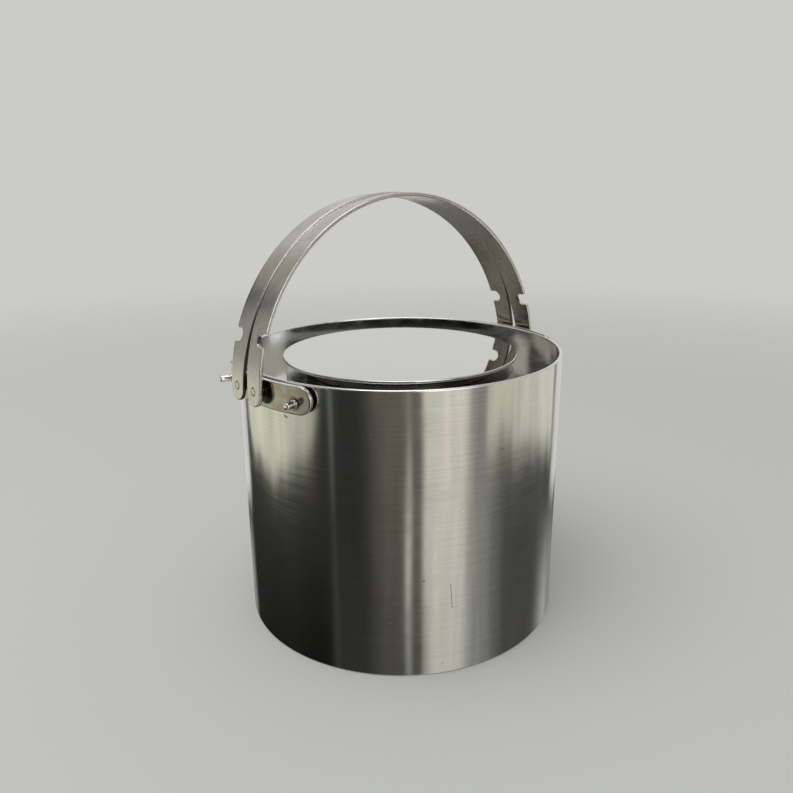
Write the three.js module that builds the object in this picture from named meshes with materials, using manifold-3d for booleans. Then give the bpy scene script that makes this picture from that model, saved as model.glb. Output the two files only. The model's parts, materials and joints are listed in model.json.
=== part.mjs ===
// A double-walled ice bucket with a lift-out lid and a carrying handle of two swinging strips.
// Millimetres, +Z up. The origin is the centre of the underside, and X runs from pivot to pivot.

import * as THREE from 'three';
import { mergeVertices } from 'three/addons/utils/BufferGeometryUtils.js';
import Module from 'manifold-3d';

const wasm = await Module();
wasm.setup();

// Driving dimensions: the bucket.
const BUCKET_RADIUS = 75;
const BUCKET_HEIGHT = 126;
const WALL = 1.5;
const SHEET = 1;
const LEDGE_DEPTH = 12.2;
const OPENING_RADIUS = 51.5;
const FLOOR_HEIGHT = 8;
const BASE_THICKNESS = 1.2;
const FOOT_ROUND = 0.4;
const GAP = 0.3;
const CONTACT = 0.2;

// The lid.
const LID_RADIUS = 54.8;
const LID_THICKNESS = 1.3;
const LID_BELOW_RIM = 2;
const LID_NECK_RADIUS = 44;
const PLUG_RADIUS = 50.5;
const PLUG_DEPTH = 10;
const PAN_FLANGE_RADIUS = 53.5;

// The brackets, which stand off the wall on spacers.
const BRACKET_INNER = 76.5;
const BRACKET_OUTER = 78.5;
const BRACKET_HEIGHT = 11.7;
const BRACKET_Z = 119.95;
const BRACKET_END_ANGLE = THREE.MathUtils.degToRad(20.4);
const STUD_ANGLE = THREE.MathUtils.degToRad(19);
const STUD_Z = 118.8;
const STUD_RADIUS = 1.45;
const STUD_SHANK = 1.35;
const STUD_COLLAR = 1.8;
const STUD_COLLAR_LENGTH = 0.8;
const STUD_NECK = 1.05;
const STUD_NECK_LENGTH = 0.6;
const STUD_END_ROUND = 0.7;
const STUD_REACH = 84;
const SPACER_RADIUS = 3;

// The handle: two flat strips, each bent to a half hoop.
const PIVOT_Z = 120.7;
const PIVOT_Y = 6.7;
const STRIP_OUTER = 82;
const STRIP_INNER = 80.4;
const STRIP_HALF_WIDTH = 5;
const ARCH_EXTRA_WIDTH = 1.53;
const WIDEN_FROM = -6;
const WIDEN_TO = 30;
const END_BELOW_PIVOT = 6.2;
const LEAN = THREE.MathUtils.degToRad(3.65);
const NOTCH_ANGLE = THREE.MathUtils.degToRad(19.4);
const NOTCH_RADIUS = 2.8;
const NOTCH_CENTRE = 2.4;
const RIVET_RADIUS = 1.6;
const RIVET_TAIL_RADIUS = 2.4;
const RIVET_TAIL_THICKNESS = 0.65;
const WASHER_RADIUS = 2.6;
const WASHER_THICKNESS = 1.2;
const WASHER_CONTACT = 0.05;
const BORE_CLEARANCE = 0.1;

// Facets in a full turn of large and small round pieces.
const ROUND = 64;
const SMALL_ROUND = 16;
const END_STEPS = 8;
const BRACKET_STEPS = 18;
const STRIP_STEPS = 56;

const LEDGE_Z = BUCKET_HEIGHT - LEDGE_DEPTH;
const WALL_INNER = BUCKET_RADIUS - WALL;
const HOOP_MIDDLE = (STRIP_OUTER + STRIP_INNER) / 2;

function steel(color, roughness) {
  return new THREE.MeshStandardMaterial({ color, roughness, metalness: 1 });
}

const brushedSteel = steel(0x9c9c98, 0.34);
const mirrorSteel = steel(0xc4c5c3, 0.08);
const satinSteel = steel(0xaaa89f, 0.28);
const pinSteel = steel(0xb8b6b0, 0.18);
const foam = new THREE.MeshStandardMaterial({ color: 0xe6dfc8, roughness: 0.95, metalness: 0 });

const bucket = new THREE.Group();

function addPiece(name, geometry, material, parent = bucket) {
  const mesh = new THREE.Mesh(geometry, material);
  mesh.name = name;
  parent.add(mesh);
  return mesh;
}

// Turns a profile of [radius, height] points about Z.
function turned(profile, segments = ROUND) {
  const points = profile.map(([radius, height]) => new THREE.Vector2(radius, height));
  return new THREE.LatheGeometry(points, segments).rotateX(Math.PI / 2);
}

// A turned piece whose axis points out along +X, for the pins.
function turnedAlongX(profile) {
  return turned(profile, SMALL_ROUND).rotateY(Math.PI / 2);
}

// A quarter or half circle of [radius, height] points, with its angles in turns of pi.
function arcPoints(radius, height, size, from, to, steps) {
  return Array.from({ length: steps + 1 }, (_, i) => {
    const angle = Math.PI * (from + (to - from) * i / steps);
    return [radius + size * Math.cos(angle), height + size * Math.sin(angle)];
  });
}

// Merges a geometry's corners, drops collapsed triangles and makes a solid of it.
function solidOf(geometry) {
  const bare = geometry.clone();
  bare.deleteAttribute('normal');
  bare.deleteAttribute('uv');
  const merged = mergeVertices(bare, 1e-4);
  const index = merged.index.array;
  const corners = [];
  for (let i = 0; i < index.length; i += 3) {
    const [a, b, c] = index.subarray(i, i + 3);
    if (a !== b && b !== c && c !== a) corners.push(a, b, c);
  }
  return new wasm.Manifold(new wasm.Mesh({
    numProp: 3,
    vertProperties: new Float32Array(merged.attributes.position.array),
    triVerts: new Uint32Array(corners),
  }));
}

// Cuts every tool out of a body and gives the result back as a geometry.
function cut(body, tools) {
  const result = tools.reduce((left, tool) => left.subtract(solidOf(tool)), solidOf(body));
  const mesh = result.getMesh();
  const geometry = new THREE.BufferGeometry();
  geometry.setAttribute('position', new THREE.BufferAttribute(mesh.vertProperties, 3));
  geometry.setIndex(new THREE.BufferAttribute(mesh.triVerts, 1));
  geometry.computeVertexNormals();
  return geometry;
}

// Joins four-cornered sections into one closed bar, with each section's corners in the same order.
function barThrough(sections) {
  const positions = sections.flat(2);
  const index = [];
  const quad = (a, b, c, d) => index.push(a, c, b, a, d, c);
  for (let i = 0; i < sections.length - 1; i += 1) {
    for (let side = 0; side < 4; side += 1) {
      const next = (side + 1) % 4;
      quad(4 * i + side, 4 * i + next, 4 * (i + 1) + next, 4 * (i + 1) + side);
    }
  }
  const last = 4 * (sections.length - 1);
  quad(3, 2, 1, 0);
  quad(last, last + 1, last + 2, last + 3);
  const geometry = new THREE.BufferGeometry();
  geometry.setAttribute('position', new THREE.Float32BufferAttribute(positions, 3));
  geometry.setIndex(index);
  return geometry;
}

// Places from the start of a bar to its end, close together where its full-round ends curve.
function placesAlong(length, endRadius, middleSteps) {
  const curved = Array.from({ length: END_STEPS }, (_, i) => (
    endRadius * (1 - Math.cos(Math.PI / 2 * i / END_STEPS))));
  const straight = Array.from({ length: middleSteps + 1 }, (_, i) => (
    endRadius + (length - 2 * endRadius) * i / middleSteps));
  return [...curved, ...straight, ...curved.map((place) => length - place).reverse()];
}

// How much of the full width is left at a place near a full-round end, from 0 to 1.
function roundEndShare(distanceFromEnd, endRadius) {
  const inside = Math.max(endRadius - distanceFromEnd, 0) / endRadius;
  return Math.sqrt(Math.max(1 - inside * inside, 0));
}

function boreAlongX(radius, from, to) {
  return new THREE.CylinderGeometry(radius, radius, to - from, SMALL_ROUND)
    .rotateZ(Math.PI / 2).translate((from + to) / 2, 0, 0);
}

function outerWall() {
  const lip = WALL / 2;
  return turned([
    [WALL_INNER, 0],
    ...arcPoints(BUCKET_RADIUS - FOOT_ROUND, FOOT_ROUND, FOOT_ROUND, -0.5, 0, 2),
    ...arcPoints(BUCKET_RADIUS - lip, BUCKET_HEIGHT - lip, lip, 0, 1, 4),
    [WALL_INNER, 0],
  ]);
}

function innerLiner() {
  return turned([
    [0, FLOOR_HEIGHT],
    [OPENING_RADIUS + SHEET, FLOOR_HEIGHT],
    [OPENING_RADIUS + SHEET, LEDGE_Z - SHEET],
    [WALL_INNER - GAP, LEDGE_Z - SHEET],
    [WALL_INNER - GAP, LEDGE_Z],
    [OPENING_RADIUS, LEDGE_Z],
    [OPENING_RADIUS, FLOOR_HEIGHT + SHEET],
    [0, FLOOR_HEIGHT + SHEET],
  ]);
}

function disc(radius, bottom, top) {
  return turned([[0, bottom], [radius, bottom], [radius, top], [0, top]]);
}

function ringProfile(inner, outer, bottom, top) {
  return [[inner, bottom], [outer, bottom], [outer, top], [inner, top], [inner, bottom]];
}

function tube(inner, outer, bottom, top) {
  return turned(ringProfile(inner, outer, bottom, top));
}

function addBucketShell() {
  const insulationRadius = WALL_INNER - GAP;
  addPiece('outer_wall', outerWall(), brushedSteel);
  addPiece('base_plate', disc(WALL_INNER - GAP, 0, BASE_THICKNESS), brushedSteel);
  addPiece('inner_liner', innerLiner(), mirrorSteel);
  addPiece('floor_insulation', disc(insulationRadius, BASE_THICKNESS + GAP, FLOOR_HEIGHT - GAP), foam);
  addPiece('wall_insulation', tube(
    OPENING_RADIUS + SHEET + GAP, insulationRadius, FLOOR_HEIGHT, LEDGE_Z - SHEET - GAP), foam);
}

// The lid is one moving unit: a grip disc on a neck, over a shallow insulated plug.
function addLid() {
  const lid = new THREE.Group();
  bucket.add(lid);
  lid.position.z = LEDGE_Z + CONTACT;
  const topBottom = BUCKET_HEIGHT - LID_BELOW_RIM - LID_THICKNESS - lid.position.z;
  const coverBottom = SHEET + CONTACT;
  const coverTop = coverBottom + SHEET;
  addPiece('lid_top', disc(LID_RADIUS, topBottom, topBottom + LID_THICKNESS), mirrorSteel, lid);
  addPiece('lid_neck', tube(
    LID_NECK_RADIUS - SHEET, LID_NECK_RADIUS, coverTop + CONTACT, topBottom - CONTACT), satinSteel, lid);
  addPiece('lid_pan_cover', disc(PAN_FLANGE_RADIUS, coverBottom, coverTop), satinSteel, lid);
  addPiece('lid_pan', turned([
    [0, -PLUG_DEPTH],
    [PLUG_RADIUS, -PLUG_DEPTH],
    [PLUG_RADIUS, 0],
    [PAN_FLANGE_RADIUS, 0],
    [PAN_FLANGE_RADIUS, SHEET],
    [PLUG_RADIUS - SHEET, SHEET],
    [PLUG_RADIUS - SHEET, SHEET - PLUG_DEPTH],
    [0, SHEET - PLUG_DEPTH],
  ]), satinSteel, lid);
  const foamRadius = PLUG_RADIUS - SHEET - GAP;
  addPiece('lid_insulation', disc(foamRadius, SHEET - PLUG_DEPTH + GAP, SHEET - GAP), foam, lid);
}

// Turns a geometry that points out along +X to a heading around the bucket.
function facing(geometry, heading, height) {
  return geometry.clone().rotateZ(heading).translate(0, 0, height);
}

// A curved plate with full-round ends, pierced for two studs and two pivot rivets.
function bracketPlate() {
  const endRadius = BRACKET_HEIGHT / 2;
  const halfAngle = BRACKET_END_ANGLE + endRadius / BRACKET_OUTER;
  const length = 2 * halfAngle * BRACKET_OUTER;
  const sections = placesAlong(length, endRadius, BRACKET_STEPS).map((place) => {
    const angle = place / BRACKET_OUTER - halfAngle;
    const half = endRadius * roundEndShare(Math.min(place, length - place), endRadius);
    const corner = (radius, z) => [radius * Math.cos(angle), radius * Math.sin(angle), z];
    return [
      corner(BRACKET_INNER, BRACKET_Z - half),
      corner(BRACKET_OUTER, BRACKET_Z - half),
      corner(BRACKET_OUTER, BRACKET_Z + half),
      corner(BRACKET_INNER, BRACKET_Z + half),
    ];
  });
  const studBore = boreAlongX(STUD_SHANK + BORE_CLEARANCE, BUCKET_RADIUS, STRIP_OUTER);
  const rivetBore = boreAlongX(RIVET_RADIUS + BORE_CLEARANCE, BUCKET_RADIUS - SHEET, STRIP_OUTER);
  return cut(barThrough(sections), [
    facing(studBore, STUD_ANGLE, STUD_Z),
    facing(studBore, -STUD_ANGLE, STUD_Z),
    rivetBore.clone().translate(0, PIVOT_Y, PIVOT_Z),
    rivetBore.clone().translate(0, -PIVOT_Y, PIVOT_Z),
  ]);
}

// A stop stud: shank through bracket and spacer, collar, neck, and a body with a rounded end.
function studShape() {
  const collarFrom = BRACKET_OUTER + GAP / 2;
  const collarTo = collarFrom + STUD_COLLAR_LENGTH;
  const bodyFrom = collarTo + STUD_NECK_LENGTH;
  const round = STUD_END_ROUND;
  return turnedAlongX([
    [0, BUCKET_RADIUS + GAP],
    [STUD_SHANK, BUCKET_RADIUS + GAP],
    [STUD_SHANK, collarFrom],
    [STUD_COLLAR, collarFrom],
    [STUD_COLLAR, collarTo],
    [STUD_NECK, collarTo],
    [STUD_NECK, bodyFrom],
    [STUD_RADIUS, bodyFrom],
    ...arcPoints(STUD_RADIUS - round, STUD_REACH - round, round, 0, 0.5, 3),
    [0, STUD_REACH],
  ]);
}

function spacerShape() {
  const inner = STUD_SHANK + BORE_CLEARANCE;
  const from = BUCKET_RADIUS + CONTACT / 2;
  const to = BRACKET_INNER - CONTACT / 2;
  return turnedAlongX(ringProfile(inner, SPACER_RADIUS, from, to));
}

// A pivot rivet: its tail is spread behind the bracket and its end is flush with the strip.
function rivetShape() {
  const tailFrom = BUCKET_RADIUS + CONTACT / 2;
  const tailTo = tailFrom + RIVET_TAIL_THICKNESS;
  const end = STRIP_OUTER - CONTACT;
  return turnedAlongX([
    [0, tailFrom],
    [RIVET_TAIL_RADIUS, tailFrom],
    [RIVET_TAIL_RADIUS, tailTo],
    [RIVET_RADIUS, tailTo],
    [RIVET_RADIUS, end],
    [0, end],
  ]);
}

function washerShape() {
  const inner = RIVET_RADIUS + BORE_CLEARANCE;
  const from = BRACKET_OUTER + WASHER_CONTACT;
  return turnedAlongX(ringProfile(inner, WASHER_RADIUS, from, from + WASHER_THICKNESS));
}

// One bracket with its studs, spacers, rivets and washers, on the side that a heading points to.
function addPivotSide(side, heading) {
  const group = new THREE.Group();
  group.rotation.z = heading;
  bucket.add(group);
  addPiece(`${side}_bracket`, bracketPlate(), satinSteel, group);
  for (const end of [-1, 1]) {
    // The group on the -X side is turned half round, so its own +Y is the bucket's -Y.
    const place = end * Math.cos(heading) > 0 ? 'rear' : 'front';
    addPiece(`${side}_${place}_stud`, facing(studShape(), end * STUD_ANGLE, STUD_Z), pinSteel, group);
    addPiece(`${side}_${place}_spacer`, facing(spacerShape(), end * STUD_ANGLE, STUD_Z), satinSteel, group);
    const rivet = rivetShape().translate(0, end * PIVOT_Y, PIVOT_Z);
    const washer = washerShape().translate(0, end * PIVOT_Y, PIVOT_Z);
    addPiece(`${side}_${place}_rivet`, rivet, pinSteel, group);
    addPiece(`${side}_${place}_washer`, washer, pinSteel, group);
  }
}

// Extra width that a strip gains on its inner edge, going up from its narrow ends to the arch.
function archExtra(height) {
  return ARCH_EXTRA_WIDTH * THREE.MathUtils.smoothstep(height, WIDEN_FROM, WIDEN_TO);
}

// A handle strip standing up from its pivot axis at the origin, with its notched edge towards -Y.
// Folded down, the hoop is concentric with the bucket, so its centre is PIVOT_Y below the pivots.
function handleStrip() {
  const startAngle = Math.asin((PIVOT_Y - END_BELOW_PIVOT) / HOOP_MIDDLE);
  const length = (Math.PI - 2 * startAngle) * HOOP_MIDDLE;
  const sections = placesAlong(length, STRIP_HALF_WIDTH, STRIP_STEPS).map((place) => {
    const angle = startAngle + place / HOOP_MIDDLE;
    const share = roundEndShare(Math.min(place, length - place), STRIP_HALF_WIDTH);
    const outward = -STRIP_HALF_WIDTH * share;
    const height = HOOP_MIDDLE * Math.sin(angle) - PIVOT_Y;
    const inward = STRIP_HALF_WIDTH * share + archExtra(height);
    const corner = (radius, y) => [radius * Math.cos(angle), y, radius * Math.sin(angle) - PIVOT_Y];
    return [
      corner(STRIP_INNER, inward),
      corner(STRIP_OUTER, inward),
      corner(STRIP_OUTER, outward),
      corner(STRIP_INNER, outward),
    ];
  });
  const bore = boreAlongX(RIVET_RADIUS + BORE_CLEARANCE, -STRIP_OUTER - SHEET, STRIP_OUTER + SHEET);
  const notches = [NOTCH_ANGLE, Math.PI - NOTCH_ANGLE].map(notchTool);
  return cut(barThrough(sections), [bore, ...notches]);
}

// A round-bottomed slot tool that enters a strip from its -Y edge, square to the hoop at an angle.
function notchTool(angle) {
  const mouth = STRIP_HALF_WIDTH + SHEET;
  const outline = new THREE.Shape();
  outline.moveTo(NOTCH_RADIUS, -mouth);
  outline.lineTo(NOTCH_RADIUS, -NOTCH_CENTRE);
  outline.absarc(0, -NOTCH_CENTRE, NOTCH_RADIUS, 0, Math.PI, false);
  outline.lineTo(-NOTCH_RADIUS, -mouth);
  const depth = 4 * (STRIP_OUTER - STRIP_INNER);
  const arcSteps = 10;
  // The outline's x runs along the hoop, its y across the strip and the extrusion outwards.
  return new THREE.ExtrudeGeometry(outline, { depth, bevelEnabled: false, curveSegments: arcSteps })
    .translate(0, 0, HOOP_MIDDLE - depth / 2)
    .rotateY(Math.PI / 2 - angle)
    .translate(0, 0, -PIVOT_Y);
}

// Both strips lean back together by the same angle, so that their inner edges lie side by side.
function addHandle() {
  const strip = handleStrip();
  const front = addPiece('front_strip', strip, satinSteel);
  front.position.set(0, -PIVOT_Y, PIVOT_Z);
  front.rotation.set(-LEAN, 0, 0);
  const rear = addPiece('rear_strip', strip.clone(), satinSteel);
  rear.position.set(0, PIVOT_Y, PIVOT_Z);
  rear.rotation.set(-LEAN, 0, Math.PI);
}

addBucketShell();
addLid();
addPivotSide('left', Math.PI);
addPivotSide('right', 0);
addHandle();

export default bucket;
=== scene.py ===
import json
from math import acos, asin, atan2, cos, degrees, pi, radians, sin, tan

import bmesh
import bpy
from mathutils import Matrix, Vector

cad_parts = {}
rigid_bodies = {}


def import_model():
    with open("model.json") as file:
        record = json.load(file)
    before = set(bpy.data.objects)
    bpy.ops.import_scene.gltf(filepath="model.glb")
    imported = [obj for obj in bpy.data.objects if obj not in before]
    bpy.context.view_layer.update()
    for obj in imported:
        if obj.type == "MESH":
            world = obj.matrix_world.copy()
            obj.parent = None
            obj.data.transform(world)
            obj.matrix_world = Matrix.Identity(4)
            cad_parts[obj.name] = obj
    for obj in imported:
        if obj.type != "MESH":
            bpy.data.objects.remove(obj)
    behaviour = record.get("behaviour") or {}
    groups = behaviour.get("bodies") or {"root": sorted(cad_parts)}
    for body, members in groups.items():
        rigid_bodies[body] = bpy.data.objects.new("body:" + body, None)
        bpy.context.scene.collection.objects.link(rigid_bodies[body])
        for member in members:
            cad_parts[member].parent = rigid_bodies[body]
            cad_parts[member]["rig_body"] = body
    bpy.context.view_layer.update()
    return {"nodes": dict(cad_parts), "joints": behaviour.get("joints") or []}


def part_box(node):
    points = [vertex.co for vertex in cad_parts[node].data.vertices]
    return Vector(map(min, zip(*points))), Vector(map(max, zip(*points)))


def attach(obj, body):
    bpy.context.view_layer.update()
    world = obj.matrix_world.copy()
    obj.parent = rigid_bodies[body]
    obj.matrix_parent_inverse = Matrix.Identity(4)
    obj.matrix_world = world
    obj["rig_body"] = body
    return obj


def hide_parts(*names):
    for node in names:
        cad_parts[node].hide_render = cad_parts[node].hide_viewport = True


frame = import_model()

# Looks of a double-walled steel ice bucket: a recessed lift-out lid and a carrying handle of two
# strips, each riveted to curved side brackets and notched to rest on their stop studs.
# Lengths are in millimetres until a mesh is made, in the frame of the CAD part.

MM = 0.001
joints = {joint["name"]: joint for joint in frame["joints"]}


def box_mm(node):
    low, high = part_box(node)
    return low / MM, high / MM


# Sizes read from the frame.
RADIUS = box_mm("outer_wall")[1].x
HEIGHT = box_mm("outer_wall")[1].z
LINER_BOTTOM = box_mm("inner_liner")[0].z
LEDGE_Z = box_mm("inner_liner")[1].z
BASE_RADIUS = box_mm("base_plate")[1].x
BASE_THICKNESS = box_mm("base_plate")[1].z
LID_RADIUS = box_mm("lid_top")[1].x
LID_BOTTOM, LID_TOP = (corner.z for corner in box_mm("lid_top"))
NECK_RADIUS = box_mm("lid_neck")[1].x
NECK_BOTTOM, NECK_TOP = (corner.z for corner in box_mm("lid_neck"))
COVER_RADIUS = box_mm("lid_pan_cover")[1].x
COVER_BOTTOM, COVER_TOP = (corner.z for corner in box_mm("lid_pan_cover"))
PAN_BOTTOM, PAN_TOP = (corner.z for corner in box_mm("lid_pan"))
BRACKET_OUTER = box_mm("right_bracket")[1].x
BRACKET_LOW, BRACKET_HIGH = (corner.z for corner in box_mm("right_bracket"))
STRIP_OUTER = box_mm("front_strip")[1].x
PIVOT_Y = -joints["front_handle_fold"]["pos_m"][1] / MM
PIVOT_Z = joints["front_handle_fold"]["pos_m"][2] / MM
LEAN = radians(joints["front_handle_fold"]["range_deg"][1] - 90)

# Sizes of the sheet and of the small fittings, as in the CAD part.
WALL = 1.5
SHEET = 1.0
OPENING_RADIUS = 51.5
PLUG_RADIUS = 50.5
BRACKET_THICKNESS = 2.0
BRACKET_END_ANGLE = radians(20.4)
STUD_ANGLE = radians(19)
STUD_Z = 118.8
NOTCH_ANGLE = radians(19.4)
STRIP_THICKNESS = 1.6
STRIP_HALF_WIDTH = 5.0
ARCH_EXTRA_WIDTH = 1.53
WIDEN_FROM = -6.0
WIDEN_TO = 30.0
END_BELOW_PIVOT = 6.2
NOTCH_RADIUS = 2.8
NOTCH_CENTRE = 2.4
STUD_REACH = 84.0
STUD_RADIUS = 1.45
RIVET_RADIUS = 1.6
RIVET_TAIL_RADIUS = 2.4
STRIP_HOLE_RADIUS = 1.7
BRACKET_RIVET_HOLE_RADIUS = 1.9
BRACKET_STUD_HOLE_RADIUS = 1.45
WASHER_RADIUS = 2.6
WASHER_THICKNESS = 1.2
SPACER_RADIUS = 3.0

# Play between pieces that don't touch, and roundings that only show as highlights.
PLAY = 0.1
BRACKET_RIM = 0.35
STRIP_RIM = 0.45
NOTCH_MOUTH_RADIUS = 0.5
LINER_CORNER_RADIUS = 3.0
LEDGE_EDGE_RADIUS = 1.2
LID_EDGE_RADIUS = 0.5

HOOP_MIDDLE = STRIP_OUTER - STRIP_THICKNESS / 2
STRIP_INNER = STRIP_OUTER - STRIP_THICKNESS

# Camera and room. The camera stands off the front left, above the rim. The lamp's place is in
# metres, and it turns with the camera.
CAMERA_TURN = radians(-39.55)
CAMERA_DISTANCE = 339.2
CAMERA_HEIGHT = 203.2
CAMERA_TILT = radians(16.73)
CAMERA_PAN = radians(0.29)
CAMERA_ROLL = radians(-0.53)
CAMERA_LENS = 33.39
FLOOR_RADIUS = 1400
LAMP_PLACE = Vector((-0.45, -0.35, 1.3))
BACKDROP = (0.60, 0.605, 0.58, 1)


# ---------------------------------------------------------------------------------------------
# Shapes

def arc(x, y, radius, start, end, steps):
    """Points on an arc about (x, y), with its angles in degrees."""
    angles = [radians(start + (end - start) * i / steps) for i in range(steps + 1)]
    return [(x + radius * cos(a), y + radius * sin(a)) for a in angles]


def rounded(corners, steps=4, closed=False):
    """Replaces each (x, y, rounding) corner of a line by an arc that touches both its sides."""
    points = []
    count = len(corners)
    for i, (x, y, radius) in enumerate(corners):
        at_end = not closed and i in (0, count - 1)
        if radius == 0 or at_end:
            points.append((x, y))
            continue
        corner = Vector((x, y))
        to_before = (Vector(corners[i - 1][:2]) - corner).normalized()
        to_after = (Vector(corners[(i + 1) % count][:2]) - corner).normalized()
        half = acos(max(-1, min(1, to_before.dot(to_after)))) / 2
        centre = corner + (to_before + to_after).normalized() * (radius / sin(half))
        first = corner + to_before * (radius / tan(half)) - centre
        last = corner + to_after * (radius / tan(half)) - centre
        sweep = atan2(first.x * last.y - first.y * last.x, first.dot(last))
        for step in range(steps + 1):
            turn = Matrix.Rotation(sweep * step / steps, 2)
            points.append(tuple(centre + turn @ first))
    return points


def new_piece(node, mesh, material):
    """Shows a mesh, given in mm, in place of a CAD node and on that node's body."""
    mesh.transform(Matrix.Scale(MM, 4))
    mesh.polygons.foreach_set("use_smooth", [True] * len(mesh.polygons))
    mesh.materials.append(material)
    piece = bpy.data.objects.new(node + "_look", mesh)
    bpy.context.scene.collection.objects.link(piece)
    normals = piece.modifiers.new("face normals", "WEIGHTED_NORMAL")
    normals.mode = "FACE_AREA_WITH_ANGLE"
    normals.weight = 60
    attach(piece, frame["nodes"][node]["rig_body"])
    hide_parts(node)
    return piece


def turned_mesh(profile, segments=256, closed=False):
    """Turns (radius, height) points about Z; a profile that isn't closed starts and ends on the axis."""
    verts, rows = [], []
    for radius, height in profile:
        if radius < 1e-6:
            rows.append([len(verts)] * segments)
            verts.append((0, 0, height))
            continue
        rows.append(list(range(len(verts), len(verts) + segments)))
        for i in range(segments):
            angle = 2 * pi * i / segments
            verts.append((radius * cos(angle), radius * sin(angle), height))
    if closed:
        rows.append(rows[0])
    faces = []
    for low, high in zip(rows, rows[1:]):
        for i in range(segments):
            j = (i + 1) % segments
            corners = [low[i], low[j], high[j], high[i]]
            face = [c for k, c in enumerate(corners) if c != corners[k - 1]]
            if len(set(face)) > 2:
                faces.append(face)
    mesh = bpy.data.meshes.new("turned")
    mesh.from_pydata(verts, [], faces)
    fix_winding(mesh)
    return mesh


def fix_winding(mesh):
    """Turns every face of a closed mesh outward."""
    body = bmesh.new()
    body.from_mesh(mesh)
    bmesh.ops.recalc_face_normals(body, faces=body.faces[:])
    body.to_mesh(mesh)
    body.free()


def outward_normals(loop):
    """The direction away from the material at each point of a loop that keeps it on the left."""
    count = len(loop)
    sides = []
    for i in range(count):
        (x0, y0), (x1, y1) = loop[i], loop[(i + 1) % count]
        sides.append(Vector((y1 - y0, x0 - x1)).normalized())
    return [(sides[i - 1] + sides[i]).normalized() for i in range(count)]


def plate_mesh(loops, thickness, spacing, place):
    """A flat plate cut to 2-D loops, with rounded rims, sliced across and then bent by place().

    Each loop is (points, rim radius). The outer edge runs anticlockwise and holes run clockwise.
    """
    body = bmesh.new()
    cap_edges = ([], [])
    for loop, rim in loops:
        quarter = arc(0, 0, rim, 0, 90, 3)
        levels = [(rim - x, rim - y) for x, y in reversed(quarter)]
        levels += [(rim - x, thickness - rim + y) for x, y in quarter]
        normals = outward_normals(loop)
        rings = []
        for inset, height in levels:
            rings.append([
                body.verts.new((x - n.x * inset, y - n.y * inset, height))
                for (x, y), n in zip(loop, normals)])
        for low, high in zip(rings, rings[1:]):
            for i in range(len(loop)):
                body.faces.new((low[i - 1], low[i], high[i], high[i - 1]))
        for cap, ring in zip(cap_edges, (rings[0], rings[-1])):
            cap += [body.edges.get((ring[i - 1], ring[i])) for i in range(len(loop))]
    for cap in cap_edges:
        bmesh.ops.triangle_fill(body, use_beauty=True, edges=cap)
    alongs = [vert.co.x for vert in body.verts]
    cuts = int((max(alongs) - min(alongs)) / spacing)
    for i in range(1, cuts):
        along = min(alongs) + (max(alongs) - min(alongs)) * i / cuts
        bmesh.ops.bisect_plane(
            body, geom=body.verts[:] + body.edges[:] + body.faces[:], dist=0.02,
            plane_co=(along, 0, 0), plane_no=(1, 0, 0))
    bmesh.ops.remove_doubles(body, verts=body.verts[:], dist=0.004)
    for vert in body.verts:
        vert.co = place(*vert.co)
    bmesh.ops.recalc_face_normals(body, faces=body.faces[:])
    if body.calc_volume(signed=True) < 0:
        bmesh.ops.reverse_faces(body, faces=body.faces[:])
    mesh = bpy.data.meshes.new("plate")
    body.to_mesh(mesh)
    body.free()
    return mesh


# ---------------------------------------------------------------------------------------------
# Shader helpers

def add(tree, kind, inputs=None, **settings):
    """Adds a shader node; an input is given a value, or linked when the value is a socket."""
    made = tree.nodes.new("ShaderNode" + kind)
    for name, value in settings.items():
        setattr(made, name, value)
    for key, value in (inputs or {}).items():
        if isinstance(value, bpy.types.NodeSocket):
            tree.links.new(value, made.inputs[key])
        else:
            made.inputs[key].default_value = value
    return made


def calc(tree, operation, *values):
    """The result of a math node."""
    made = add(tree, "Math", dict(enumerate(values)), operation=operation)
    return made.outputs[0]


def remap(tree, value, low, high, to_low=0.0, to_high=1.0, smooth=True):
    """Goes from to_low to to_high as a value goes from low to high, and stays level beyond."""
    settings = {"interpolation_type": "SMOOTHSTEP" if smooth else "LINEAR"}
    inputs = {"Value": value, "From Min": low, "From Max": high, "To Min": to_low, "To Max": to_high}
    return add(tree, "MapRange", inputs, **settings).outputs["Result"]


def mixed(tree, share, first, second):
    """A colour that goes from first to second as share goes from 0 to 1."""
    made = add(tree, "Mix", {0: share, 6: first, 7: second}, data_type="RGBA")
    return made.outputs[2]


def noise(tree, position, scale, detail=3.0, roughness=0.5):
    """A noise value near 0.5, with its scale given as a size in mm for each axis."""
    stretched = add(tree, "Mapping", {"Vector": position, "Scale": [1 / (MM * s) for s in scale]})
    made = add(tree, "TexNoise", {
        "Vector": stretched.outputs[0], "Scale": 1.0, "Detail": detail, "Roughness": roughness})
    return made.outputs["Fac"]


def new_material(name):
    """An empty metal material, with its tree, object coordinates, shader and output."""
    material = bpy.data.materials.new(name)
    material.use_nodes = True
    tree = material.node_tree
    tree.nodes.clear()
    position = add(tree, "TexCoord").outputs["Object"]
    shader = add(tree, "BsdfPrincipled", {"Metallic": 1.0})
    output = add(tree, "OutputMaterial", {"Surface": shader.outputs[0]})
    return material, tree, position, shader, output


def set_input(tree, shader, name, value):
    if isinstance(value, bpy.types.NodeSocket):
        tree.links.new(value, shader.inputs[name])
    else:
        shader.inputs[name].default_value = value


def bump(tree, height, depth, normal=None):
    """A bump of depth mm for a height that goes from 0 to 1."""
    inputs = {"Height": height, "Distance": depth * MM, "Strength": 1.0}
    if normal is not None:
        inputs["Normal"] = normal
    return add(tree, "Bump", inputs).outputs[0]


# ---------------------------------------------------------------------------------------------
# Materials

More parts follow.
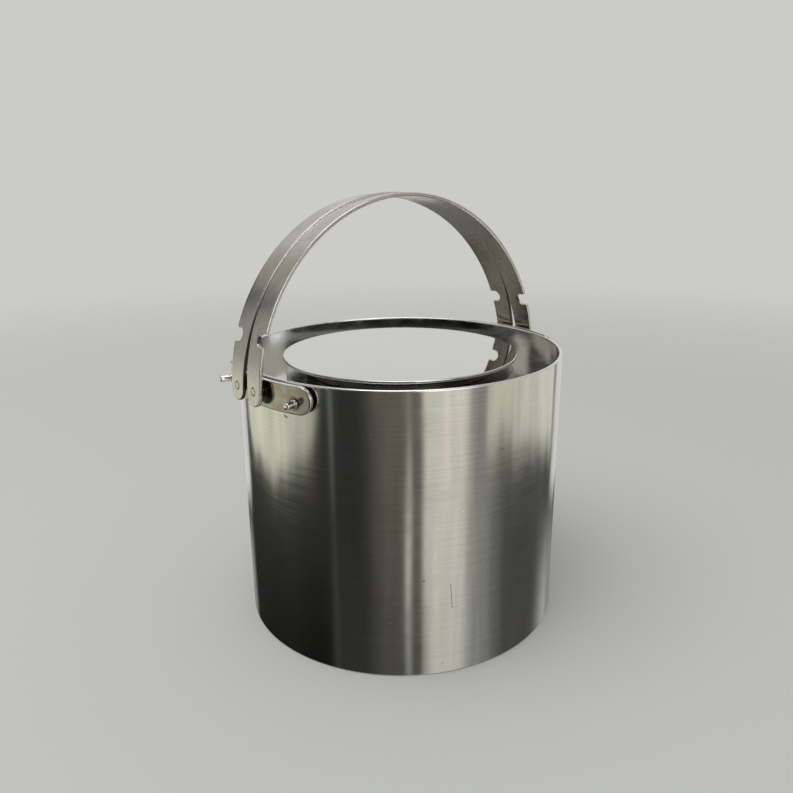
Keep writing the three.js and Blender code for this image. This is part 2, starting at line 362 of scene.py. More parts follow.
def specks(tree, position, spacing, size, rarity):
    """1 inside small dots scattered about spacing mm apart, 0 elsewhere."""
    stretched = add(tree, "Mapping", {"Vector": position, "Scale": [1 / (MM * spacing)] * 3})
    cells = add(tree, "TexVoronoi", {"Vector": stretched.outputs[0], "Scale": 1.0})
    near = calc(tree, "LESS_THAN", cells.outputs["Distance"], size / spacing)
    chosen = calc(tree, "GREATER_THAN", add(
        tree, "SeparateColor", {0: cells.outputs["Color"]}).outputs[0], rarity)
    return calc(tree, "MULTIPLY", near, chosen)


def scratch(tree, position, start, end, half_width):
    """1 on a straight scratch between two (degrees round the bucket, height mm) points."""
    parts = add(tree, "SeparateXYZ", {0: position})
    angle = calc(tree, "ARCTAN2", parts.outputs[1], parts.outputs[0])
    x = calc(tree, "MULTIPLY", angle, RADIUS)
    y = calc(tree, "DIVIDE", parts.outputs[2], MM)
    (x0, y0), (x1, y1) = ((radians(a) * RADIUS, height) for a, height in (start, end))
    length = ((x1 - x0) ** 2 + (y1 - y0) ** 2) ** 0.5
    ux, uy = (x1 - x0) / length, (y1 - y0) / length
    dx = calc(tree, "SUBTRACT", x, x0)
    dy = calc(tree, "SUBTRACT", y, y0)
    along = calc(tree, "ADD", calc(tree, "MULTIPLY", dx, ux), calc(tree, "MULTIPLY", dy, uy))
    aside = calc(tree, "ABSOLUTE", calc(
        tree, "SUBTRACT", calc(tree, "MULTIPLY", dx, uy), calc(tree, "MULTIPLY", dy, ux)))
    beyond = calc(tree, "ABSOLUTE", calc(tree, "SUBTRACT", along, length / 2))
    inside = calc(tree, "LESS_THAN", beyond, length / 2)
    return calc(tree, "MULTIPLY", inside, remap(tree, aside, half_width, 0))


# Ends of three short dents below the left pivots: degrees round the bucket, height in mm.
WALL_PITS = (((-168.0, 111.4), (-166.6, 110.8)),
             ((-178.0, 55.6), (-179.3, 53.6)),
             ((177.4, 51.2), (176.2, 49.4)))


def brushed_wall():
    """Steel brushed round the body: long fine lines, faint smudges, specks, pits and scratches."""
    material, tree, position, shader, _ = new_material("brushed_wall")
    fine = noise(tree, position, (30, 30, 0.35), detail=2, roughness=0.6)
    broad = noise(tree, position, (80, 80, 1.1), detail=3)
    smudge = noise(tree, position, (30, 30, 22), detail=4, roughness=0.6)
    lines = calc(tree, "ADD", calc(tree, "MULTIPLY", fine, 0.75), calc(tree, "MULTIPLY", broad, 0.25))
    tone = mixed(tree, remap(tree, lines, 0.36, 0.64), (0.63, 0.63, 0.60, 1), (0.685, 0.685, 0.65, 1))
    tone = mixed(tree, remap(tree, smudge, 0.54, 0.74, 0, 0.4), tone, (0.52, 0.48, 0.44, 1))
    bright = specks(tree, position, 5.0, 0.3, 0.65)
    hairs = noise(tree, position, (0.35, 0.35, 5), detail=1)
    bright = calc(tree, "MAXIMUM", bright, remap(tree, hairs, 0.70, 0.78, 0, 0.3))
    dark = specks(tree, position, 8.0, 0.36, 0.8)
    tone = mixed(tree, bright, tone, (0.95, 0.95, 0.92, 1))
    tone = mixed(tree, dark, tone, (0.10, 0.09, 0.08, 1))
    front = degrees(CAMERA_TURN) - 90
    corner = (front + 16.2, 31.2)
    scratch_half_width = 0.15
    pit_half_width = 0.8
    mark = scratch(tree, position, (front + 15.6, 42.5), corner, scratch_half_width)
    short_scratch = scratch(tree, position, corner, (front + 18.0, 31.5), scratch_half_width)
    mark = calc(tree, "MAXIMUM", mark, short_scratch)
    for start, end in WALL_PITS:
        mark = calc(tree, "MAXIMUM", mark, scratch(tree, position, start, end, pit_half_width))
    tone = mixed(tree, mark, tone, (0.20, 0.19, 0.17, 1))
    rough = remap(tree, lines, 0.3, 0.7, 0.11, 0.14)
    rough = calc(tree, "ADD", rough, remap(tree, smudge, 0.45, 0.7, 0, 0.03))
    set_input(tree, shader, "Base Color", tone)
    set_input(tree, shader, "Roughness", rough)
    set_input(tree, shader, "Anisotropic", 0.2)
    set_input(tree, shader, "Anisotropic Rotation", 0.25)
    tangent = add(tree, "Tangent", direction_type="RADIAL", axis="Z")
    set_input(tree, shader, "Tangent", tangent.outputs[0])
    grooves = bump(tree, lines, 0.00025)
    set_input(tree, shader, "Normal", bump(tree, calc(tree, "SUBTRACT", 1.0, mark), 0.03, grooves))
    return material


def polished(name, colour, roughness, wave, haze_share=0.35):
    """Polished sheet with a slight unevenness of about wave mm and faint wiping marks."""
    material, tree, position, shader, _ = new_material(name)
    uneven = noise(tree, position, (24, 24, 24), detail=1)
    haze = noise(tree, position, (9, 9, 9), detail=4, roughness=0.6)
    hair = noise(tree, position, (14, 0.5, 0.5), detail=2)
    tone = mixed(tree, remap(tree, haze, 0.45, 0.7, 0, haze_share), (*colour, 1),
                 (*(c * 0.82 for c in colour), 1))
    rough = calc(tree, "ADD", remap(tree, haze, 0.35, 0.7, roughness * 0.7, roughness * 1.5),
                 remap(tree, hair, 0.6, 0.75, 0, 0.05))
    set_input(tree, shader, "Base Color", tone)
    set_input(tree, shader, "Roughness", rough)
    set_input(tree, shader, "Normal", bump(tree, uneven, wave))
    return material


def stud_foot_shade(tree, position):
    """Close to 1 on the bracket round the foot of each stud, where shade is painted, and 0 elsewhere."""
    parts = add(tree, "SeparateXYZ", {0: position})
    angle = calc(tree, "ARCTAN2", parts.outputs[1], calc(tree, "ABSOLUTE", parts.outputs[0]))
    aside = calc(tree, "SUBTRACT", calc(tree, "ABSOLUTE", angle), STUD_ANGLE)
    aside = calc(tree, "MULTIPLY", aside, BRACKET_OUTER)
    rise = calc(tree, "SUBTRACT", calc(tree, "DIVIDE", parts.outputs[2], MM), STUD_Z)
    flat = add(tree, "CombineXYZ", {0: aside, 1: rise})
    away = add(tree, "VectorMath", {0: flat.outputs[0]}, operation="LENGTH").outputs["Value"]
    return remap(tree, away, 3.6, 1.9, 0, 0.85)


def satin(name, colour, roughness, grain, stain_and_stud_shade=0.0, stain_colour=(0.40, 0.31, 0.20)):
    """Satin steel with grain lines; grain gives the size of its features in mm for each axis."""
    material, tree, position, shader, _ = new_material(name)
    lines = noise(tree, position, grain, detail=3, roughness=0.6)
    mottle = noise(tree, position, (6, 6, 6), detail=4, roughness=0.65)
    tone = mixed(tree, remap(tree, lines, 0.35, 0.65), (*(c * 0.88 for c in colour), 1),
                 (*(min(c * 1.08, 1) for c in colour), 1))
    tone = mixed(tree, remap(tree, mottle, 0.5, 0.72, 0, 0.35), tone, (*(c * 0.78 for c in colour), 1))
    # Stain patches are real stains; the dark ring round each stud's foot is painted shade.
    if stain_and_stud_shade:
        patch = noise(tree, position, (5, 5, 5), detail=3)
        tone = mixed(tree, remap(tree, patch, 0.48, 0.66, 0, stain_and_stud_shade), tone, (*stain_colour, 1))
        tone = mixed(tree, stud_foot_shade(tree, position), tone, (0.10, 0.075, 0.05, 1))
    set_input(tree, shader, "Base Color", tone)
    rough = calc(tree, "ADD", remap(tree, lines, 0.3, 0.7, roughness * 0.85, roughness * 1.15),
                 remap(tree, mottle, 0.45, 0.7, 0, 0.08))
    set_input(tree, shader, "Roughness", rough)
    set_input(tree, shader, "Normal", bump(tree, lines, 0.0012))
    return material


def seam_shade_steel():
    """The strips' facing edges: painted shade near the pivots, where the two strips shade each other,
    turning light towards the top of the hoop.
    """
    material, tree, position, shader, _ = new_material("strip_seam_shade")
    height = calc(tree, "DIVIDE", add(tree, "SeparateXYZ", {0: position}).outputs[2], MM)
    mottle = noise(tree, position, (5, 5, 5), detail=2)
    toward_top = remap(tree, calc(tree, "ADD", height, calc(tree, "MULTIPLY", mottle, 2.0)), 147, 173)
    set_input(tree, shader, "Base Color", mixed(tree, toward_top, (0.10, 0.095, 0.08, 1), (0.86, 0.85, 0.80, 1)))
    set_input(tree, shader, "Roughness", remap(tree, mottle, 0.3, 0.7, 0.30, 0.36))
    return material


def foam():
    """Rigid insulating foam with small cells."""
    material, tree, position, shader, _ = new_material("foam")
    cells = noise(tree, position, (0.8, 0.8, 0.8), detail=4)
    set_input(tree, shader, "Metallic", 0.0)
    set_input(tree, shader, "Base Color", mixed(
        tree, remap(tree, cells, 0.35, 0.65), (0.72, 0.66, 0.50, 1), (0.84, 0.79, 0.64, 1)))
    set_input(tree, shader, "Roughness", 0.95)
    set_input(tree, shader, "Normal", bump(tree, cells, 0.2))
    return material


wall_steel = brushed_wall()
liner_steel = polished("mirror_steel", (0.78, 0.78, 0.74), 0.13, 0.01)
# The rolled lip is painted lighter than the wall and the liner: a painted highlight along the rim.
lip_highlight_steel = polished("lip_highlight_steel", (0.93, 0.93, 0.91), 0.22, 0.003, haze_share=0.1)
lid_steel = polished("lid_mirror", (0.80, 0.80, 0.775), 0.03, 0.003, haze_share=0.08)
plain_satin = satin("satin_steel", (0.52, 0.51, 0.48), 0.2, (0.4, 0.4, 3))
# Near-black steel for the neck and the lid's underside: painted shade in the recess under the lid.
shaded_steel = polished("recess_shade_steel", (0.09, 0.087, 0.078), 0.1, 0.01)
strip_steel = satin("strip_steel", (0.60, 0.59, 0.545), 0.18, (5, 0.35, 5))
# A darker copy of the strip steel for the strips' inner faces: painted shade on the side that faces the
# bucket.
strip_inside_shade = satin("strip_inside_shade", (0.38, 0.365, 0.32), 0.22, (5, 0.35, 5))
# The facing edges of the strips: painted shade near the pivots, lighter towards the top.
strip_seam_shade = seam_shade_steel()
# A much lighter steel for the rims of strips and brackets: a painted highlight along the edges.
edge_highlight_steel = satin("edge_highlight_steel", (0.86, 0.85, 0.80), 0.16, (2, 2, 0.5))
rivet_steel = satin("rivet_steel", (0.58, 0.57, 0.53), 0.2, (2, 0.4, 0.4))
# The bracket has real stain patches and a painted shade round each stud's foot.
bracket_steel = satin("bracket_steel", (0.42, 0.415, 0.375), 0.15, (8, 8, 0.4), stain_and_stud_shade=0.75)
pin_steel = satin("pin_steel", (0.82, 0.81, 0.77), 0.09, (0.3, 3, 3))
# Near-black washers: painted shade in the gap between strip and bracket.
washer_shade_steel = satin("washer_shade_steel", (0.12, 0.115, 0.10), 0.2, (1, 1, 1))
foam_material = foam()


# ---------------------------------------------------------------------------------------------
# Pieces

def build_bucket():
    """The outer wall with its rolled lip, the base plate, and the liner with its ledge."""
    lip = WALL / 2
    inner = RADIUS - WALL
    wall = rounded([
        (inner, 0, 0.15),
        (RADIUS, 0, 0.6),
        (RADIUS, HEIGHT, lip * 0.98),
        (inner, HEIGHT, lip * 0.98),
    ], steps=7, closed=True)
    shell = new_piece("outer_wall", turned_mesh(wall, closed=True), wall_steel)
    shell.data.materials.append(liner_steel)
    shell.data.materials.append(lip_highlight_steel)
    inside_slot, lip_slot = 1, 2
    # The lip's faces take the lighter lip steel, a painted highlight; the faces inside take the liner steel.
    for face in shell.data.polygons:
        middle = Vector(face.center) / MM
        if middle.z > HEIGHT - lip:
            face.material_index = lip_slot
        elif middle.xy.length < RADIUS - lip:
            face.material_index = inside_slot

    base = rounded([
        (0, 0, 0), (BASE_RADIUS, 0, 0.3), (BASE_RADIUS, BASE_THICKNESS, 0.3), (0, BASE_THICKNESS, 0)])
    new_piece("base_plate", turned_mesh(base), wall_steel)

    floor_top = LINER_BOTTOM + SHEET
    flange_bottom = LEDGE_Z - SHEET
    flange_radius = RADIUS - WALL - 0.03
    liner = rounded([
        (0, LINER_BOTTOM, 0),
        (OPENING_RADIUS + SHEET, LINER_BOTTOM, LINER_CORNER_RADIUS + SHEET),
        (OPENING_RADIUS + SHEET, flange_bottom, 0.3),
        (flange_radius, flange_bottom, 0.1),
        (flange_radius, LEDGE_Z, 0.1),
        (OPENING_RADIUS, LEDGE_Z, LEDGE_EDGE_RADIUS),
        (OPENING_RADIUS, floor_top, LINER_CORNER_RADIUS),
        (0, floor_top, 0),
    ], steps=6)
    new_piece("inner_liner", turned_mesh(liner), liner_steel)


def build_lid():
    """The flat top disc, the neck below it, and the pan with its cover that plugs the opening."""
    top = rounded([
        (0, LID_BOTTOM, 0), (LID_RADIUS, LID_BOTTOM, LID_EDGE_RADIUS),
        (LID_RADIUS, LID_TOP, LID_EDGE_RADIUS), (0, LID_TOP, 0)])
    disc = new_piece("lid_top", turned_mesh(top), lid_steel)
    # The underside of the disc is near black: painted shade under the lid.
    disc.data.materials.append(shaded_steel)
    underside_slot = 1
    for face in disc.data.polygons:
        if face.normal.z < -0.9:
            face.material_index = underside_slot

    neck_inner = NECK_RADIUS - SHEET
    neck = rounded([
        (neck_inner, NECK_BOTTOM, 0.2), (NECK_RADIUS, NECK_BOTTOM, 0.2),
        (NECK_RADIUS, NECK_TOP, 0.2), (neck_inner, NECK_TOP, 0.2)], closed=True)
    # The neck is near black: painted shade in the recess under the lid.
    new_piece("lid_neck", turned_mesh(neck, closed=True), shaded_steel)

    cover = rounded([
        (0, COVER_BOTTOM, 0), (COVER_RADIUS, COVER_BOTTOM, 0.4),
        (COVER_RADIUS, COVER_TOP, 0.4), (0, COVER_TOP, 0)])
    new_piece("lid_pan_cover", turned_mesh(cover), plain_satin)

    pan_inner = PLUG_RADIUS - SHEET
    flange_bottom = PAN_TOP - SHEET
    pan = rounded([
        (0, PAN_BOTTOM, 0),
        (PLUG_RADIUS, PAN_BOTTOM, 2.0),
        (PLUG_RADIUS, flange_bottom, 0.2),
        (COVER_RADIUS, flange_bottom, 0.3),
        (COVER_RADIUS, PAN_TOP, 0.3),
        (pan_inner, PAN_TOP, 0.3),
        (pan_inner, PAN_BOTTOM + SHEET, 1.0),
        (0, PAN_BOTTOM + SHEET, 0),
    ])
    new_piece("lid_pan", turned_mesh(pan), plain_satin)


def bore(x, y, radius):
    """A clockwise circle, for a hole in a plate."""
    return arc(x, y, radius, 360, 0, 36)[:-1]


def bracket_outline():
    """A long slot shape: x runs round the bucket at the bracket's outer face, y is up from its middle."""
    end = (BRACKET_HIGH - BRACKET_LOW) / 2
    reach = BRACKET_END_ANGLE * BRACKET_OUTER
    return arc(reach, 0, end, -90, 90, 30) + arc(-reach, 0, end, 90, 270, 30)


def build_bracket(side, heading):
    """A plate bent round the bucket, with holes for two studs and two rivets."""
    middle = (BRACKET_LOW + BRACKET_HIGH) / 2
    inner = BRACKET_OUTER - BRACKET_THICKNESS
    stud_x = STUD_ANGLE * BRACKET_OUTER
    rivet_x = asin(PIVOT_Y / BRACKET_OUTER) * BRACKET_OUTER
    hole_rim = 0.15
    loops = [(bracket_outline(), BRACKET_RIM)]
    for x in (-stud_x, stud_x):
        loops.append((bore(x, STUD_Z - middle, BRACKET_STUD_HOLE_RADIUS), hole_rim))
    for x in (-rivet_x, rivet_x):
        loops.append((bore(x, PIVOT_Z - middle, BRACKET_RIVET_HOLE_RADIUS), hole_rim))

    def place(along, up, out):
        angle = heading + along / BRACKET_OUTER
        radius = inner + out
        return radius * cos(angle), radius * sin(angle), middle + up

    slice_length = 1.2
    mesh = plate_mesh(loops, BRACKET_THICKNESS, slice_length, place)
    bracket = new_piece(side + "_bracket", mesh, bracket_steel)
    bracket.data.materials.append(edge_highlight_steel)
    edge_slot = 1
    # The rims take the lighter edge steel: a painted highlight along the bracket's edges.
    for face in bracket.data.polygons:
        reach = Vector(face.center[:2]).length / MM
        if inner + 0.1 < reach < BRACKET_OUTER - 0.1:
            face.material_index = edge_slot


def smoothstep(value, low, high):
    """Goes smoothly from 0 to 1 as a value goes from low to high."""
    share = max(0, min(1, (value - low) / (high - low)))
    return share * share * (3 - 2 * share)


def strip_outline():
    """A strip laid flat: x runs along the hoop from one end, y from the notched edge to the inner."""
    start = asin((PIVOT_Y - END_BELOW_PIVOT) / HOOP_MIDDLE)
    length = (pi - 2 * start) * HOOP_MIDDLE
    half = STRIP_HALF_WIDTH
    mouth = NOTCH_MOUTH_RADIUS
    points = []
    for angle in (NOTCH_ANGLE, pi - NOTCH_ANGLE):
        x = (angle - start) * HOOP_MIDDLE
        points += arc(x - NOTCH_RADIUS - mouth, mouth - half, mouth, -90, 0, 5)
        points += arc(x, -NOTCH_CENTRE, NOTCH_RADIUS, 180, 0, 24)
        points += arc(x + NOTCH_RADIUS + mouth, mouth - half, mouth, 180, 270, 5)
    points += arc(length - half, 0, half, -90, 90, 30)
    steps = 72
    for i in range(1, steps):
        x = length - half - (length - 2 * half) * i / steps
        height = HOOP_MIDDLE * sin(start + x / HOOP_MIDDLE) - PIVOT_Y
        points.append((x, half + ARCH_EXTRA_WIDTH * smoothstep(height, WIDEN_FROM, WIDEN_TO)))
    points += arc(half, 0, half, 90, 270, 30)
    return points, start, length


def build_strip(name, turn, pivot_y):
    """A notched strip bent to the hoop, turned about Z, leaned back and set on its pivots."""
    points, start, length = strip_outline()
    pivot_x = (asin(PIVOT_Y / HOOP_MIDDLE) - start) * HOOP_MIDDLE
    hole_rim = 0.2
    loops = [(points, STRIP_RIM)]
    loops += [(bore(x, 0, STRIP_HOLE_RADIUS), hole_rim) for x in (pivot_x, length - pivot_x)]
    stand = Matrix.Translation((0, pivot_y, PIVOT_Z)) @ Matrix.Rotation(-LEAN, 4, "X")
    stand = stand @ Matrix.Rotation(turn, 4, "Z")

    def place(along, across, out):
        angle = start + along / HOOP_MIDDLE
        radius = STRIP_INNER + out
        return stand @ Vector((radius * cos(angle), across, radius * sin(angle) - PIVOT_Y))

    slice_length = 1.4
    mesh = plate_mesh(loops, STRIP_THICKNESS, slice_length, place)
    strip = new_piece(name, mesh, strip_steel)
    for material in (strip_inside_shade, strip_seam_shade, edge_highlight_steel):
        strip.data.materials.append(material)
    inside_slot, seam_slot, edge_slot = 1, 2, 3
    laid = stand.inverted()
    # Inner faces take the darker copy of the steel and the facing edges the seam material, both painted
    # shade; the rounded rims take a painted highlight.
    for face in strip.data.polygons:
        middle = laid @ (Vector(face.center) / MM)
        normal = laid.to_3x3() @ face.normal
        out = Vector((middle.x, 0, middle.z + PIVOT_Y))
        flatness = abs(normal.dot(out.normalized()))
        if abs(normal.y) > 0.3 and middle.y > 0:
            face.material_index = seam_slot
        elif flatness > 0.95 and out.length < HOOP_MIDDLE:
            face.material_index = inside_slot
        elif 0.25 < flatness < 0.95:
            face.material_index = edge_slot


def along_x(profile, place, closed=False):
    """A turned pin that points out along +X before it is put in its place."""
    mesh = turned_mesh(profile, segments=64, closed=closed)
    mesh.transform(place @ Matrix.Rotation(pi / 2, 4, "Y"))
    return mesh


def stud_profile():
    """Shank, collar, neck and a body with a rounded end."""
    shank, collar, neck, body = STUD_RADIUS - PLAY, 1.8, 1.05, STUD_RADIUS
    foot = RADIUS + 0.3
    collar_from = BRACKET_OUTER + 0.15
    collar_to = collar_from + 0.8
    body_from = collar_to + 0.6
    end = STUD_REACH
    return rounded([
        (0, foot, 0), (shank, foot, 0.2), (shank, collar_from, 0.05), (collar, collar_from, 0.15),
        (collar, collar_to, 0.25), (neck, collar_to, 0.12), (neck, body_from, 0.12),
        (body, body_from, 0.2), (body, end, 0.75), (0, end, 0)], steps=5)


def rivet_profile():
    """A flat tail behind the bracket, and a plain pin that ends just below the strip's face."""
    tail = RIVET_TAIL_RADIUS
    tail_from = RADIUS + PLAY
    tail_to = tail_from + 0.65
    end = STRIP_OUTER - 0.2
    return rounded([
        (0, tail_from, 0), (tail, tail_from, 0.2), (tail, tail_to, 0.25), (RIVET_RADIUS, tail_to, 0.1),
        (RIVET_RADIUS, end, 0.3), (0, end, 0)])


def ring_profile(inner, outer, low, high, rim):
    """A plain ring between two radii and two heights."""
    return rounded([
        (inner, low, rim), (outer, low, rim), (outer, high, rim), (inner, high, rim)], closed=True)


def build_pivot_side(side, heading):
    """One side's bracket with its two studs on spacers and its two rivets with washers."""
    build_bracket(side, heading)
    turn = Matrix.Rotation(heading, 4, "Z")
    washer_from = BRACKET_OUTER + PLAY / 2
    washer = ring_profile(
        STRIP_HOLE_RADIUS, WASHER_RADIUS, washer_from, washer_from + WASHER_THICKNESS, 0.25)
    spacer_to = BRACKET_OUTER - BRACKET_THICKNESS - PLAY
    spacer = ring_profile(BRACKET_STUD_HOLE_RADIUS, SPACER_RADIUS, RADIUS + PLAY, spacer_to, 0.2)
    for end in (-1, 1):
        # The side on -X is turned half round, so its own +Y is the bucket's -Y.
        where = "rear" if end * cos(heading) > 0 else "front"
        name = side + "_" + where + "_"
        at_stud = Matrix.Translation((0, 0, STUD_Z)) @ Matrix.Rotation(heading + end * STUD_ANGLE, 4, "Z")
        at_pivot = turn @ Matrix.Translation((0, end * PIVOT_Y, PIVOT_Z))
        new_piece(name + "stud", along_x(stud_profile(), at_stud), pin_steel)
        new_piece(name + "spacer", along_x(spacer, at_stud, closed=True), plain_satin)
        new_piece(name + "rivet", along_x(rivet_profile(), at_pivot), rivet_steel)
        # The washers are near black: painted shade between strip and bracket.
        new_piece(name + "washer", along_x(washer, at_pivot, closed=True), washer_shade_steel)


build_bucket()
build_lid()
build_pivot_side("left", pi)
build_pivot_side("right", 0)
build_strip("front_strip", 0, -PIVOT_Y)
build_strip("rear_strip", pi, PIVOT_Y)
for node in ("floor_insulation", "wall_insulation", "lid_insulation"):
    filling = frame["nodes"][node]
    filling.data.materials.clear()
    filling.data.materials.append(foam_material)


# ---------------------------------------------------------------------------------------------
# Room, light and camera

# The steel mirrors a room of soft upright panels round the bucket. Azimuths are in degrees from
# the camera's side, rising to its right, and elevations are in degrees above the horizon.
def ray_angles(tree):
    """The azimuth and the elevation that a ray leaves in."""
    direction = add(tree, "TexCoord").outputs["Generated"]
    turned = add(tree, "VectorRotate", {"Vector": direction, "Angle": -CAMERA_TURN}, rotation_type="Z_AXIS")
    parts = add(tree, "SeparateXYZ", {0: turned.outputs[0]})
    back = calc(tree, "MULTIPLY", parts.outputs[1], -1.0)
    azimuth = calc(tree, "MULTIPLY", calc(tree, "ARCTAN2", parts.outputs[0], back), 180 / pi)
    elevation = calc(tree, "MULTIPLY", calc(tree, "ARCSINE", parts.outputs[2]), 180 / pi)
    return azimuth, elevation, turned.outputs[0]


def wavering(tree, angle, direction, scale, reach):
    """Shifts an angle by up to reach degrees, so that the panels' edges aren't ruler-straight."""
    made = add(tree, "TexNoise", {"Vector": direction, "Scale": scale, "Detail": 2.0})
    shift = remap(tree, made.outputs["Fac"], 0.3, 0.7, -reach, reach, smooth=False)
    return calc(tree, "ADD", angle, shift)


def band(tree, azimuth, left, right, left_soft, right_soft):
    """1 between two azimuths, falling smoothly to 0 outside them."""
    rise = remap(tree, azimuth, left - left_soft, left + left_soft)
    fall = remap(tree, azimuth, right - right_soft, right + right_soft, 1, 0)
    return calc(tree, "MULTIPLY", rise, fall)


def above(tree, elevation, edge, soft):
    """1 above an elevation, falling smoothly to 0 below it."""
    return remap(tree, elevation, edge - soft, edge + soft)


def grey(value, warmth=0.0):
    """A grey, with less blue as warmth grows."""
    return (value, value * (1 - warmth / 4), value * (1 - warmth), 1)


def room_colour(tree, azimuth, elevation):
    """The mirrored room: darker in front and below, pale behind the bucket and above."""
    distance = calc(tree, "ABSOLUTE", azimuth)
    depth = remap(tree, elevation, -37, -14, smooth=False)

    # Below the horizon in front: dark, with a lighter stretch facing the camera.
    colour = mixed(tree, depth, grey(0.034), grey(0.036))
    far_left = remap(tree, azimuth, -48, -56)
    colour = mixed(tree, far_left, colour, mixed(tree, depth, grey(0.006), grey(0.055)))
    haze = band(tree, azimuth, -20, 14, 9, 3)
    colour = mixed(tree, haze, colour, mixed(tree, depth, grey(0.075, 0.08), grey(0.16, 0.22)))

    # Below the horizon on the right: a table that is lighter at its near and far ends.
    table = mixed(tree, remap(tree, azimuth, 52, 84), grey(0.30, 0.05), grey(0.075, 0.05))
    far_end = calc(tree, "MULTIPLY", remap(tree, azimuth, 112, 140), remap(tree, elevation, -22, -33))
    table = mixed(tree, far_end, table, grey(0.42))
    colour = mixed(tree, band(tree, azimuth, 50, 150, 6, 4), colour, table)

    # Two warm panels, one on each side. The lower edge of the left one is rounded.
    dip = calc(tree, "POWER", calc(tree, "DIVIDE", calc(
        tree, "ABSOLUTE", calc(tree, "ADD", azimuth, 94.0)), 40.0), 2.0)
    left_edge = calc(tree, "SUBTRACT", elevation, calc(tree, "MULTIPLY", dip, 4.0))
    left_panel = calc(tree, "MULTIPLY", band(tree, azimuth, -134, -57, 3, 3),
                      above(tree, left_edge, -22.6, 0.7))
    left_tone = mixed(tree, remap(tree, azimuth, -60, -90), (0.50, 0.50, 0.40, 1), (0.78, 0.775, 0.65, 1))
    colour = mixed(tree, left_panel, colour, left_tone)
    right_panel = calc(tree, "MULTIPLY", band(tree, azimuth, 61, 136, 2, 3),
                       above(tree, elevation, -20.0, 1.6))
    right_tone = mixed(tree, remap(tree, azimuth, 64, 125), (0.66, 0.66, 0.55, 1), (0.74, 0.735, 0.66, 1))
    colour = mixed(tree, right_panel, colour, right_tone)

    # Behind the bucket: the pale wall, down to the table's edge. Straight below: the table.
    table_behind = calc(tree, "MULTIPLY", remap(tree, distance, 140, 150), remap(tree, elevation, -22, -28))
    colour = mixed(tree, table_behind, colour, grey(0.26))
    colour = mixed(tree, remap(tree, elevation, -42, -54), colour, grey(0.30, 0.06))
    wall = calc(tree, "MULTIPLY", remap(tree, distance, 137, 143), above(tree, elevation, -23, 1.5))
    colour = mixed(tree, wall, colour, grey(0.70, 0.02))

    # Above the horizon: dim in front, warm at the sides, pale behind, and a plain ceiling.
    upper = mixed(tree, remap(tree, distance, 48, 70), grey(0.055), grey(0.44, 0.10))
    upper = mixed(tree, remap(tree, distance, 132, 146), upper, grey(0.68, 0.02))
    upper = mixed(tree, above(tree, elevation, 48, 12), upper, grey(0.40, 0.06))
    upper = mixed(tree, above(tree, elevation, 70, 5), upper, grey(2.4, 0.03))
    doorway = calc(tree, "MULTIPLY", band(tree, azimuth, -162, -118, 6, 4), remap(tree, elevation, 24, 16))
    upper = mixed(tree, doorway, upper, grey(0.05, 0.08))
    colour = mixed(tree, above(tree, elevation, -5, 5), colour, upper)

    # The front window, a thin slit beside it, and a faint line further left.
    tall = above(tree, calc(tree, "MULTIPLY", elevation, -1.0), -36, 4)
    window = calc(tree, "MULTIPLY", band(tree, azimuth, 15, 49.5, 2, 6), tall)
    foot = calc(tree, "MULTIPLY", remap(tree, azimuth, 26, 12), remap(tree, elevation, -27, -37, 0, 0.75))
    window = calc(tree, "MULTIPLY", window, calc(tree, "SUBTRACT", 1.0, foot))
    sill = mixed(tree, depth, grey(0.66, 0.10), grey(0.82, 0.11))
    pane = mixed(tree, above(tree, elevation, 2, 3), sill, (1.7, 1.8, 1.9, 1))
    colour = mixed(tree, window, colour, pane)
    slit = calc(tree, "MULTIPLY", band(tree, azimuth, 3.5, 7.0, 1.2, 1.2),
                remap(tree, elevation, -20, -28, 0.25, 1.0))
    slit = calc(tree, "MULTIPLY", slit, remap(tree, elevation, -36, -32, 0.4, 1.0))
    colour = mixed(tree, calc(tree, "MULTIPLY", slit, tall), colour, grey(0.68, 0.1))
    line = calc(tree, "MULTIPLY", band(tree, azimuth, -49, -46.5, 1.2, 1.2),
                remap(tree, elevation, -27, -17, 0.12, 0.75))
    return mixed(tree, calc(tree, "MULTIPLY", line, tall), colour, (0.28, 0.31, 0.25, 1))


def make_world():
    """Glossy rays see the mirrored room with streaks below the horizon; other rays see a plain backdrop."""
    world = bpy.data.worlds.new("studio")
    bpy.context.scene.world = world
    world.use_nodes = True
    world.cycles.sampling_method = "NONE"
    tree = world.node_tree
    tree.nodes.clear()
    azimuth, elevation, direction = ray_angles(tree)
    azimuth = wavering(tree, azimuth, direction, 3.1, 1.6)
    elevation = wavering(tree, elevation, direction, 4.3, 1.1)
    streaked = add(tree, "Mapping", {"Vector": direction, "Scale": (20, 20, 1.2)})
    streaks = add(tree, "TexNoise", {"Vector": streaked.outputs[0], "Scale": 1.0, "Detail": 3.0})
    low = remap(tree, elevation, -2, -9)
    tinted = add(tree, "MapRange", {
        "Vector": streaks.outputs["Color"], "From Min": (0.3, 0.3, 0.3), "From Max": (0.7, 0.7, 0.7),
        "To Min": (0.92, 0.94, 0.92), "To Max": (1.09, 1.07, 1.08)}, data_type="FLOAT_VECTOR")
    shade = remap(tree, streaks.outputs["Fac"], 0.3, 0.7, 0.84, 1.16, smooth=False)
    room = room_colour(tree, azimuth, elevation)
    uneven = add(tree, "VectorMath", {0: room, 1: tinted.outputs["Vector"]}, operation="MULTIPLY")
    strength = calc(tree, "ADD", 1.0, calc(tree, "MULTIPLY", low, calc(tree, "SUBTRACT", shade, 1.0)))
    mirrored = add(tree, "Background", {
        "Color": mixed(tree, low, room, uneven.outputs[0]), "Strength": strength})

    rays = add(tree, "LightPath")
    plain = add(tree, "Background", {"Color": BACKDROP, "Strength": 1.0})
    chosen = add(tree, "MixShader", {
        0: rays.outputs["Is Glossy Ray"], 1: plain.outputs[0], 2: mirrored.outputs[0]})
    add(tree, "OutputWorld", {"Surface": chosen.outputs[0]})


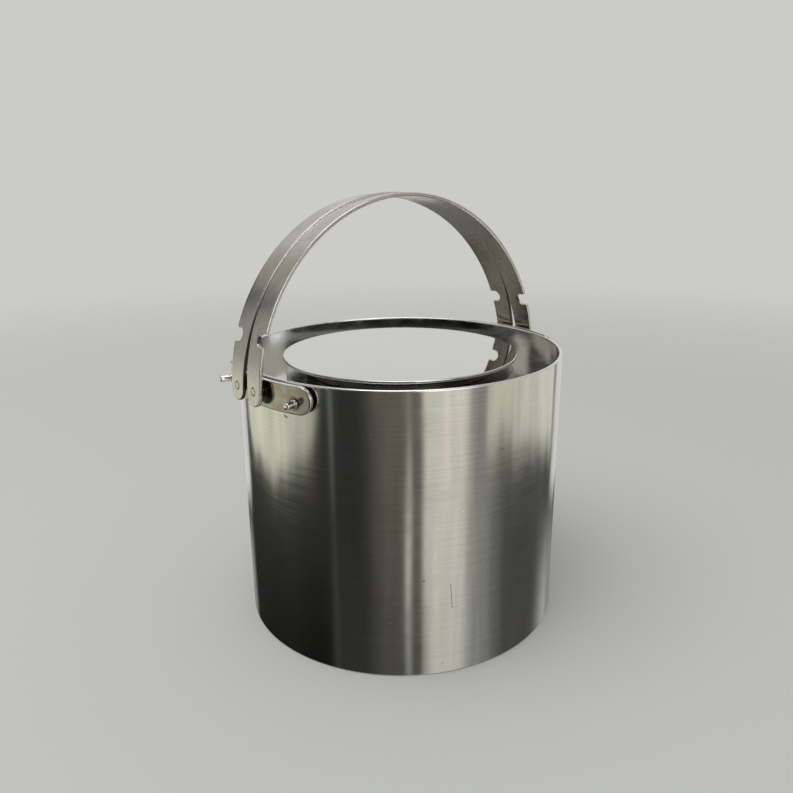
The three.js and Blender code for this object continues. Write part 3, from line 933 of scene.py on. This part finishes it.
def make_floor():
    """A pale round floor that fades into the backdrop; the steel mirrors the panels instead of it."""
    mesh = turned_mesh([(0, 0), (FLOOR_RADIUS, 0)], segments=96)
    mesh.transform(Matrix.Scale(MM, 4))
    floor = bpy.data.objects.new("floor", mesh)
    bpy.context.scene.collection.objects.link(floor)
    material, tree, position, shader, output = new_material("floor")
    set_input(tree, shader, "Metallic", 0.0)
    set_input(tree, shader, "Base Color", (0.55, 0.555, 0.54, 1))
    set_input(tree, shader, "Roughness", 0.8)
    reach = add(tree, "VectorMath", {0: position}, operation="LENGTH").outputs["Value"]
    fade = remap(tree, reach, 0.25, 1.25)
    clear = add(tree, "BsdfTransparent")
    both = add(tree, "MixShader", {0: fade, 1: shader.outputs[0], 2: clear.outputs[0]})
    tree.links.new(both.outputs[0], output.inputs["Surface"])
    mesh.materials.append(material)
    floor.visible_glossy = False


def make_light():
    """One soft lamp above, on the camera's left; the steel doesn't mirror it."""
    light = bpy.data.lights.new("soft light", "AREA")
    light.shape = "DISK"
    light.size = 1.3
    light.energy = 9.5
    lamp = bpy.data.objects.new("soft light", light)
    lamp.location = Matrix.Rotation(CAMERA_TURN, 3, "Z") @ LAMP_PLACE
    lamp.rotation_euler = (-lamp.location).to_track_quat("-Z", "Y").to_euler()
    bpy.context.scene.collection.objects.link(lamp)
    lamp.visible_glossy = False
    lamp.visible_camera = False


def make_camera():
    data = bpy.data.cameras.new("camera")
    data.lens = CAMERA_LENS
    data.sensor_width = 36
    camera = bpy.data.objects.new("camera", data)
    camera.matrix_world = (
        Matrix.Rotation(CAMERA_TURN, 4, "Z")
        @ Matrix.Translation((0, -CAMERA_DISTANCE * MM, CAMERA_HEIGHT * MM))
        @ Matrix.Rotation(CAMERA_PAN, 4, "Z")
        @ Matrix.Rotation(pi / 2 - CAMERA_TILT, 4, "X")
        @ Matrix.Rotation(CAMERA_ROLL, 4, "Z"))
    bpy.context.scene.collection.objects.link(camera)
    bpy.context.scene.camera = camera


make_world()
make_floor()
make_light()
make_camera()
bpy.context.scene.view_settings.view_transform = "Standard"
